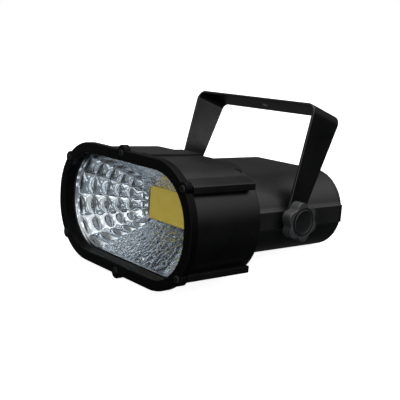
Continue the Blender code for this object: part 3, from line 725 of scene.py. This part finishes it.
def add_yoke():
    """The strap, as a loft of rectangles with broken corners, square to its path."""
    stations = yoke_path()
    rows = []
    for i, (x, height, half) in enumerate(stations):
        before = stations[max(i - 1, 0)]
        after = stations[min(i + 1, len(stations) - 1)]
        run = Vector((after[0] - before[0], 0, after[1] - before[1]))
        if abs(run.x) < 1e-6:
            outward = Vector((math.copysign(1, x), 0, 0))
        else:
            outward = Vector((run.z, 0, -run.x)).normalized()
        outer = Vector((x, 0, height))
        inner = outer - outward * YOKE_STRAP
        near = max(half - YOKE_EDGE, 0.01)
        ring = []
        for depth, width in ((0, near), (YOKE_EDGE, half), (YOKE_STRAP - YOKE_EDGE, half),
                             (YOKE_STRAP, near), (YOKE_STRAP, -near),
                             (YOKE_STRAP - YOKE_EDGE, -half), (YOKE_EDGE, -half), (0, -near)):
            spot = outer + (inner - outer) * (depth / YOKE_STRAP)
            ring.append((spot.x, width, spot.z))
        rows.append(ring)
    strap = loft("yoke_strap", rows, caps=True)
    pivot = moved(drill(PIVOT_HOLE_RADIUS, 110), side_turn(1))
    clamp = moved(drill(CLAMP_HOLE_RADIUS, 10), at(0, 0, YOKE_HEIGHT))
    strap = solid(strap, [pivot, clamp])
    piece("yoke_strap", strap, "yoke", YOKE_PAINT, ["yoke"], place=YOKE, angle=32)


def lobed(amount=0.0):
    """The star knob's outline, stepped in by an amount."""
    points = []
    for i in range(KNOB_STEPS):
        angle = 2 * math.pi * i / KNOB_STEPS
        crest = (1 + math.cos(KNOB_LOBES * angle)) / 2
        radius = KNOB_WAIST + (KNOB_RADIUS - KNOB_WAIST) * crest ** 0.7 - amount
        points.append((radius * math.cos(angle + KNOB_TURN), radius * math.sin(angle + KNOB_TURN)))
    return points


def knob_ring(radius):
    angles = [2 * math.pi * i / KNOB_STEPS + KNOB_TURN for i in range(KNOB_STEPS)]
    return [(radius * math.cos(angle), radius * math.sin(angle)) for angle in angles]


def add_knob(label, side):
    face = KNOB_FACE - KNOB_BASE
    rim = GROOVE_RADIUS
    rows = [(knob_ring(KNOB_BORE), 0), (lobed(1.0), 0), (lobed(0.3), 0.3), (lobed(), 1.0),
            (lobed(0.1), face - 2.2), (lobed(0.35), face - 1.3), (lobed(0.8), face - 0.75),
            (knob_ring(rim + 1.0), face - 0.5), (knob_ring(rim + 0.45), face - 0.45),
            (knob_ring(rim), face - 0.8), (knob_ring(rim), face - GROOVE_DEPTH),
            (knob_ring(KNOB_BORE), face - GROOVE_DEPTH)]
    mesh = loft("knob", [[(x, y, z) for x, y in outline] for outline, z in rows], closed=True)
    turn = at(side * KNOB_BASE, PIVOT_Y, 0, side_turn(side))
    mesh.transform(turn)
    piece(f"{label}_knob_grip", mesh, f"{label}_knob", KNOB_PLASTIC,
          [f"{label}_knob"], angle=40)
    cap = turned("cap", [(0, 1.25), (5, 1.28), (9.2, 1.42), (10.6, 1.75), (11.2, 2.1),
                         (11.8, 2.2), (12.25, 2.0), (CAP_RADIUS, 1.5), (CAP_RADIUS, 0), (0, 0)], 72)
    cap.transform(at(side * (KNOB_FACE - CAP_DEPTH), PIVOT_Y, 0, side_turn(side)))
    piece(f"{label}_knob_badge", cap, f"{label}_knob", PLASTIC,
          [f"{label}_knob_cap"], angle=40)


# ---------------------------------------------------------------- reflector

def end_point(section, side, share):
    """A point round one end of an obround, share of the way from its bottom to its top."""
    half_width, half_height, radius = section
    flat = half_height - radius
    quarter = radius * math.pi / 2
    run = (share - 0.5) * 2 * (flat + quarter)
    level = math.copysign(min(abs(run), flat), run)
    turn = math.copysign(max(abs(run) - flat, 0.0) / radius, run)
    return (side * (half_width - radius + radius * math.cos(turn)),
            level + radius * math.sin(turn))


def wall_point(section, side, share):
    """A point along one long side of an obround, share of the way from its left to its right."""
    half_width, half_height, radius = section
    return (half_width - radius) * (2 * share - 1), side * half_height


def mirror_section(depth):
    """The smooth mirror's outline at a depth from 0 at the glass to 1 at the LED."""
    closing = 1 - (1 - depth) ** REFLECTOR_CURVE
    return [a + (b - a) * closing for a, b in zip(REFLECTOR_FRONT, REFLECTOR_REAR)]


def mirror_columns():
    """Where each column of the mirror's mesh runs: its kind of place, side and share."""
    ends = [i / END_STEPS for i in range(END_STEPS)]
    walls = [i / WALL_STEPS for i in range(WALL_STEPS)]
    columns = [(end_point, 1, share) for share in ends]
    columns += [(wall_point, 1, 1 - share) for share in walls]
    columns += [(end_point, -1, 1 - share) for share in ends]
    columns += [(wall_point, -1, share) for share in walls]
    return columns


def pillow(value, power):
    """1 in the middle of a facet and 0 at its edges, flatter and steeper for a higher power."""
    return 1 - abs(2 * value - 1) ** power


def facet_lift(share, ring, step):
    """How far a pillow facet stands off the mirror's end."""
    across_facet = share * FACET_SECTORS % 1
    size = FACET_SIZES[ring]
    return size * (FACET_EDGE * pillow(step, 5) * pillow(across_facet, 6)
                   + FACET_CROWN * pillow(step, 2) * pillow(across_facet, 2))


def pebble_lift(x, y, side):
    """Smooth random bumps on the long walls."""
    spot = Vector((x / PEBBLE_SIZE, y / PEBBLE_SIZE, 7.3 * side))
    coarse = noise.noise(spot)
    return PEBBLE_HEIGHT * (coarse + 0.45 * noise.noise(spot * 2.1))


def mirror_depths():
    """Depths of the mesh's rows, each with the ring of facets it crosses and its place in it."""
    rows = []
    for ring, (near, far) in enumerate(zip(FACET_RINGS, FACET_RINGS[1:])):
        for i in range(RING_STEPS):
            step = i / RING_STEPS
            rows.append((near + (far - near) * step, ring, step))
    return rows + [(1.0, len(FACET_SIZES) - 1, 1.0)]


def add_reflector():
    """A deep mirror: rings of pillow facets round each end, pebbles on the long walls."""
    columns = mirror_columns()
    depths = mirror_depths()
    start = REFLECTOR_START + MIRROR_CHAMFER
    length = REFLECTOR_END - start
    grid = np.zeros((len(depths), len(columns), 3))
    lift = np.zeros(grid.shape[:2])
    for row, (depth, ring, step) in enumerate(depths):
        section = mirror_section(depth)
        y = start + length * depth
        fade = min(1.0, 12 * depth, 12 * (1 - depth))
        for column, (place, side, share) in enumerate(columns):
            x, z = place(section, side, share)
            grid[row, column] = (x, y, z)
            if place is end_point:
                lift[row, column] = facet_lift(share, ring, step)
            else:
                rim = min(1.0, 10 * share, 10 * (1 - share))
                lift[row, column] = pebble_lift(x, y, side) * fade * rim
    along = np.roll(grid, -1, 1) - np.roll(grid, 1, 1)
    normal = np.cross(along, np.gradient(grid, axis=0))
    normal /= np.linalg.norm(normal, axis=2, keepdims=True) + 1e-12
    inward = (normal * -grid * np.array([1, 0, 1])).sum(2, keepdims=True)
    normal *= np.where(inward < 0, -1, 1)
    inside = grid + normal * lift[:, :, None]
    outside = grid - normal * REFLECTOR_WALL
    front = mirror_section(0.0)
    lip = [size + MIRROR_CHAMFER for size in front]
    lips = [across([place(lip, side, share) for place, side, share in columns], REFLECTOR_START)]
    flange = [place(REFLECTOR_FLANGE, side, share) for place, side, share in columns]
    lips += [across(flange, REFLECTOR_START), across(flange, REFLECTOR_START + REFLECTOR_WALL)]
    rows = [[tuple(p) for p in ring] for ring in inside[::-1]]
    rows += lips + [[tuple(p) for p in ring] for ring in outside[3:]]
    piece("faceted_reflector", loft("reflector", rows, closed=True), "head", MATERIALS["mirror"],
          ["reflector"], angle=28, flat=False)


def add_emitter():
    """The phosphor's flat face, its rim softly rounded."""
    half_width, half_height, radius = REFLECTOR_REAR
    outline = obround((half_width - EMITTER_MARGIN, half_height - EMITTER_MARGIN,
                       radius - EMITTER_CORNER), 6)
    plate = prism("emitter", outline, EMITTER_DEPTH, EMITTER_RIM)
    plate = along_head(plate, EMITTER_START + EMITTER_DEPTH)
    piece("led_phosphor", plate, "head", MATERIALS["phosphor"], ["led_emitter"],
          angle=40)


# ---------------------------------------------------------------- carried-over solids

def finish_nodes():
    """Gives every solid its material, and softens the edges of those that still show."""
    slots = {p["node"]: p["material_slot"] for p in frame["record"]["subparts"]}
    for name, node in frame["nodes"].items():
        material = MATERIALS[slots[name]]
        for index in range(len(node.material_slots)):
            node.material_slots[index].material = material
        if not node.material_slots:
            node.data.materials.append(material)
        if node.hide_render:
            continue
        weld = node.modifiers.new("weld", "WELD")
        weld.merge_threshold = 0.00002
        if name in SOFT_EDGES:
            rounding = node.modifiers.new("rounding", "BEVEL")
            rounding.width = SOFT_EDGES[name] * MM
            rounding.segments = 2
            rounding.limit_method = "ANGLE"
            rounding.angle_limit = math.radians(50)
        node.data.shade_smooth()
        split = node.modifiers.new("edges", "EDGE_SPLIT")
        split.split_angle = math.radians(32)


# ---------------------------------------------------------------- studio

def add_camera():
    az, el, roll = CAMERA_AZIMUTH, CAMERA_ELEVATION, CAMERA_ROLL
    back = Vector((math.sin(az) * math.cos(el), -math.cos(az) * math.cos(el), math.sin(el)))
    right = Vector((math.cos(az), math.sin(az), 0))
    up = back.cross(right)
    turned_right = right * math.cos(roll) + up * math.sin(roll)
    turned_up = up * math.cos(roll) - right * math.sin(roll)
    place = axes(turned_right, turned_up, back, [c * MM for c in CAMERA_PLACE])
    data = bpy.data.cameras.new("camera")
    data.lens = CAMERA_LENS
    data.sensor_width = 36
    data.clip_start = 0.01
    data.clip_end = 100
    camera = bpy.data.objects.new("camera", data)
    camera.matrix_world = HEAD @ place
    bpy.context.scene.collection.objects.link(camera)
    bpy.context.scene.camera = camera


def add_floor():
    n = Nodes("floor")
    tone = n.noise(0.6, 2.0, 0.5)
    n.set(Base_Color=n.mix(tone, (0.80, 0.80, 0.80), (0.82, 0.82, 0.82)), Roughness=0.8,
          Emission_Color=(1, 1, 1, 1), Emission_Strength=FLOOR_GLOW)
    bm = bmesh.new()
    bmesh.ops.create_grid(bm, x_segments=1, y_segments=1, size=12)
    mesh = bpy.data.meshes.new("floor")
    bm.to_mesh(mesh)
    bm.free()
    floor = link("floor", mesh)
    mesh.materials.append(n.material)
    floor.location = (0, 0, -0.0005)
    floor.visible_glossy = False
    floor.visible_diffuse = False
    floor.visible_transmission = False


# Where the studio is bright: a direction, the share of it where the glow starts and is full,
# and its strength
GLOWS = (
    ((0.50, 0.00, 0.87), 0.27, 0.85, 1.15),
    ((-0.60, -0.30, 0.74), 0.20, 0.90, 0.22),
    ((-0.75, 0.66, 0.00), 0.20, 0.70, 0.05),
)
FRONT = ((0.70, -0.70, 0.10), 0.15, 0.75, 1.0)
BELOW = ((0.60, -0.55, -0.58), 0.40, 0.95, 0.24)
# How finely the front glow is broken into panels, where each starts and ends, and how dark
# and bright it gets
PANEL_SCALE = 4.6
PANEL_RAMP = (0.53, 0.61, 0.08, 1.4)
PANEL_COLOUR = (0.86, 0.94, 1.0)
FLOOR_GLOW = 0.9


class WorldNodes:
    """Short names for building the studio's light."""

    def __init__(self, tree):
        self.tree = tree
        self.direction = tree.nodes.new("ShaderNodeTexCoord").outputs["Generated"]

    def feed(self, socket, value):
        if isinstance(value, bpy.types.NodeSocket):
            self.tree.links.new(value, socket)
        else:
            socket.default_value = value

    def maths(self, operation, first, second):
        node = self.tree.nodes.new("ShaderNodeMath")
        node.operation = operation
        self.feed(node.inputs[0], first)
        self.feed(node.inputs[1], second)
        return node.outputs[0]

    def ramp(self, value, low, high, to_low, to_high):
        node = self.tree.nodes.new("ShaderNodeMapRange")
        node.interpolation_type = "SMOOTHSTEP"
        for key, item in zip(("Value", "From Min", "From Max", "To Min", "To Max"),
                             (value, low, high, to_low, to_high)):
            self.feed(node.inputs[key], item)
        return node.outputs["Result"]

    def glow(self, toward, low, high, strength):
        """Light that grows towards one direction."""
        share = self.tree.nodes.new("ShaderNodeVectorMath")
        share.operation = "DOT_PRODUCT"
        self.feed(share.inputs[0], self.direction)
        share.inputs[1].default_value = toward
        return self.ramp(share.outputs["Value"], low, high, 0.0, strength)

    def background(self, colour, strength=1.0):
        node = self.tree.nodes.new("ShaderNodeBackground")
        node.inputs["Color"].default_value = (*colour, 1)
        self.feed(node.inputs["Strength"], strength)
        return node.outputs[0]


def add_world():
    """White to the eye; a dark studio with soft lights to everything it lights."""
    world = bpy.data.worlds.new("studio")
    bpy.context.scene.world = world
    world.use_nodes = True
    world.node_tree.nodes.clear()
    w = WorldNodes(world.node_tree)
    panels = w.tree.nodes.new("ShaderNodeTexNoise")
    panels.inputs["Scale"].default_value = PANEL_SCALE
    panels.inputs["Detail"].default_value = 1.5
    w.feed(panels.inputs["Vector"], w.direction)
    bright = w.ramp(panels.outputs["Fac"], *PANEL_RAMP)
    front = w.maths("ADD", w.maths("MULTIPLY", w.glow(*FRONT), bright), w.glow(*BELOW))
    overhead = 0.0
    for glow in GLOWS:
        overhead = w.maths("ADD", w.glow(*glow), overhead)
    both = w.tree.nodes.new("ShaderNodeAddShader")
    w.feed(both.inputs[0], w.background(PANEL_COLOUR, front))
    w.feed(both.inputs[1], w.background((1, 1, 1), overhead))
    studio = both.outputs[0]
    white = w.background((1, 1, 1))
    mix = w.tree.nodes.new("ShaderNodeMixShader")
    seen = w.tree.nodes.new("ShaderNodeLightPath").outputs["Is Camera Ray"]
    for socket, value in zip(mix.inputs, (seen, studio, white)):
        w.feed(socket, value)
    w.feed(w.tree.nodes.new("ShaderNodeOutputWorld").inputs["Surface"], mix.outputs[0])


def add_softbox(name, place, target, size, power, spread):
    """A rectangular lamp, in watts, whose beam spreads over so many degrees."""
    data = bpy.data.lights.new(name, "AREA")
    data.shape = "RECTANGLE"
    data.size, data.size_y = size
    data.energy = power
    data.spread = math.radians(spread)
    light = bpy.data.objects.new(name, data)
    light.location = place
    light.visible_camera = False
    light.rotation_euler = (Vector(target) - Vector(place)).to_track_quat("-Z", "Y").to_euler()
    bpy.context.scene.collection.objects.link(light)


def add_studio():
    add_camera()
    add_floor()
    add_world()
    add_softbox("overhead", (0.05, 0.03, 0.62), (0.0, 0.02, 0.05), (0.3, 0.4), 1.4, 180)
    far_arm = HEAD @ Vector((-0.09, 0.17, 0.08))
    add_softbox("low_side", HEAD @ Vector((0.25, 0.47, 0.0)), far_arm, (0.06, 0.10), 0.0025, 26)
    bpy.context.scene.view_settings.view_transform = "Standard"


# ---------------------------------------------------------------- assembly

def main():
    add_bezel()
    bezel_places = [at(x, BEZEL_SCREW_Y, z, FORWARD) for x, _, z in LUGS]
    add_screws([f"bezel_screw_{i}" for i in range(1, 7)], bezel_places, BEZEL_SCREW,
               "black_steel")
    radial_places = [place @ at(0, 0, -RADIAL_SCREW_SUNK) for place in RADIAL_PLACES]
    add_screws([f"housing_screw_{i}" for i in range(1, 5)], radial_places, RADIAL_SCREW,
               "black_steel")
    add_front_housing()
    add_rear_housing()
    add_yoke()
    add_knob("right", 1)
    add_knob("left", -1)
    add_reflector()
    add_emitter()
    finish_nodes()
    add_studio()


main()
